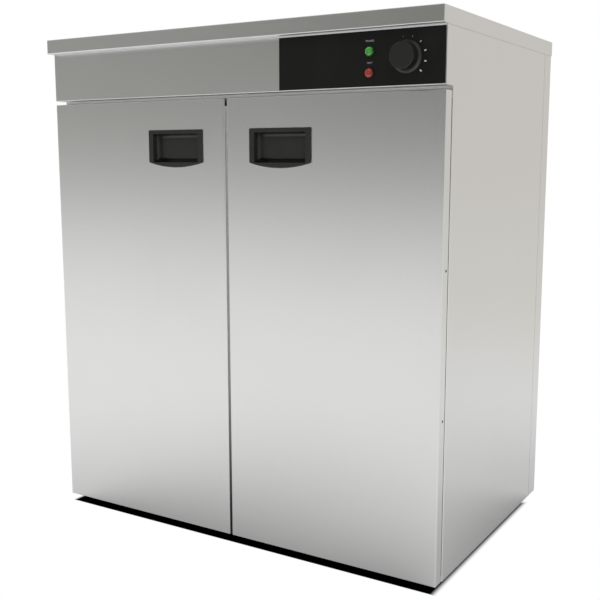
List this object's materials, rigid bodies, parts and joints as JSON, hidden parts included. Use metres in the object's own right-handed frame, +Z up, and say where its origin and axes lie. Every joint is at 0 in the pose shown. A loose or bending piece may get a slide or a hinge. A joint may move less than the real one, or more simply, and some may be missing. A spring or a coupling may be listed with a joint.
{
  "type": "plate warmer cabinet",
  "caption": "Heated insulated steel cupboard for warming plates: flat worktop, hinged doors with recessed handles, wire shelves, sheathed element, thermostat knob and lamps above the doors.",
  "frame": {"origin": "on the floor, under the middle of the bounding box", "axes": "+X to the right as seen from the front, +Y from the doors to the rear, +Z up"},
  "size_m": [0.7524, 0.507, 0.85],
  "materials": {
    "steel_outer": "satin",
    "steel_inner": "satin",
    "wire_chrome": "bright",
    "screw_steel": "bright",
    "element_sheath": "dark satin",
    "plate_black": "satin",
    "handle_plastic": "fine textured",
    "knob_plastic": "fine textured",
    "housing_plastic": "matte",
    "bushing_ceramic": "matte",
    "lens_green": "gloss",
    "lens_red": "gloss",
    "rubber": "matte",
    "seal_rubber": "matte",
    "mineral_wool": "matte"
  },
  "bodies": {
    "cabinet": {"worktop": "steel_outer", "worktop_stiffeners": "steel_inner", "control_fascia": "steel_outer", "control_plate": "plate_black", "left_side_panel": "steel_outer", "right_side_panel": "steel_outer", "rear_panel": "steel_outer", "rear_panel_screws": "screw_steel", "base_panel": "steel_outer", "rubber_feet": "rubber", "top_rail": "steel_inner", "bottom_rail": "steel_inner", "magnetic_catches": "housing_plastic", "liner_left": "steel_inner", "liner_right": "steel_inner", "liner_top": "steel_inner", "liner_floor": "steel_inner", "liner_rear": "steel_inner", "insulation_left": "mineral_wool", "insulation_right": "mineral_wool", "insulation_rear": "mineral_wool", "insulation_top": "mineral_wool", "control_bulkhead": "steel_inner", "thermostat_body": "housing_plastic", "thermostat_capillary": "element_sheath", "bulb_clip": "steel_inner", "lamp_bodies": "housing_plastic", "power_lamp_lens": "lens_green", "heat_lamp_lens": "lens_red", "lamp_nuts": "housing_plastic", "terminal_block": "housing_plastic", "cable_gland": "housing_plastic", "gland_nut": "housing_plastic", "wiring_conduits": "steel_inner", "heating_element": "element_sheath", "element_brackets": "steel_inner", "element_bushings": "bushing_ceramic", "element_guard": "steel_inner", "shelf_uprights": "steel_inner", "shelf_clips": "steel_inner", "hinge_frame_leaves": "steel_inner", "hinge_pins": "steel_inner"},
    "left_door": {"left_door_skin": "steel_outer", "left_door_inner_panel": "steel_inner", "left_door_core": "mineral_wool", "left_handle_cup": "handle_plastic", "left_door_rubbers": "rubber", "left_hinge_door_leaf": "steel_inner", "meeting_seal": "seal_rubber"},
    "right_door": {"right_door_skin": "steel_outer", "right_door_inner_panel": "steel_inner", "right_door_core": "mineral_wool", "right_handle_cup": "handle_plastic", "right_door_rubbers": "rubber", "right_hinge_door_leaf": "steel_inner"},
    "knob": {"thermostat_knob": "knob_plastic", "thermostat_spindle": "screw_steel"},
    "lower_shelf": {"lower_shelf": "wire_chrome"},
    "upper_shelf": {"upper_shelf": "wire_chrome"}
  },
  "joints": [
    {"name": "left_door_hinge", "type": "hinge", "parent": "cabinet", "child": "left_door", "pos_m": [-0.373, -0.212, 0.375], "axis": [0, 0, -1], "range_deg": [0, 105]},
    {"name": "right_door_hinge", "type": "hinge", "parent": "cabinet", "child": "right_door", "pos_m": [0.373, -0.212, 0.375], "axis": [0, 0, 1], "range_deg": [0, 105]},
    {"name": "knob_turn", "type": "hinge", "parent": "cabinet", "child": "knob", "pos_m": [0.3145, -0.2345, 0.7855], "axis": [0, 1, 0], "range_deg": [0, 172]},
    {"name": "lower_shelf_lift", "type": "slide", "parent": "cabinet", "child": "lower_shelf", "axis": [0, 0, 1], "range_m": [0, 0.02]},
    {"name": "upper_shelf_lift", "type": "slide", "parent": "cabinet", "child": "upper_shelf", "axis": [0, 0, 1], "range_m": [0, 0.02]}
  ]
}
